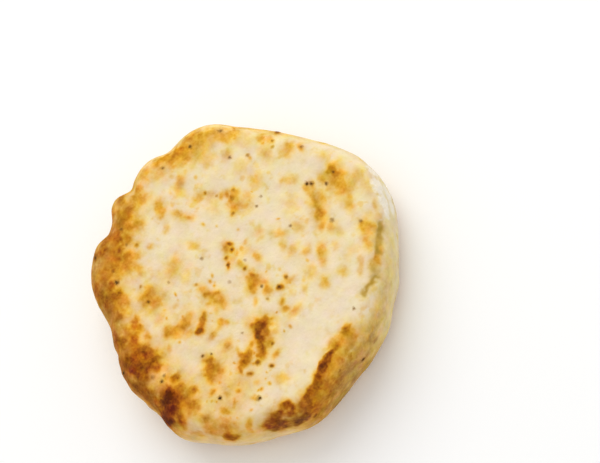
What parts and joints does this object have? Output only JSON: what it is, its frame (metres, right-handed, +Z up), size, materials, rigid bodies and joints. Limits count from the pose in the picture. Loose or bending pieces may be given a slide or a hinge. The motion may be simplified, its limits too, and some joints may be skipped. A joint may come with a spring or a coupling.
{
  "type": "english muffin",
  "caption": "Whole round griddled bread lying flat, with a scalloped edge, a browned and spotted face and a pale soft side.",
  "frame": {"origin": "on the surface that the muffin rests on, under the middle of its outline", "axes": "+Z up through the thickness, from the base to the face that shows; -Y to the side that the viewer sees most of"},
  "size_m": [0.089, 0.0872, 0.0217],
  "materials": {
    "crust": "matte"
  },
  "bodies": {
    "root": {"muffin": "crust"}
  },
  "joints": []
}
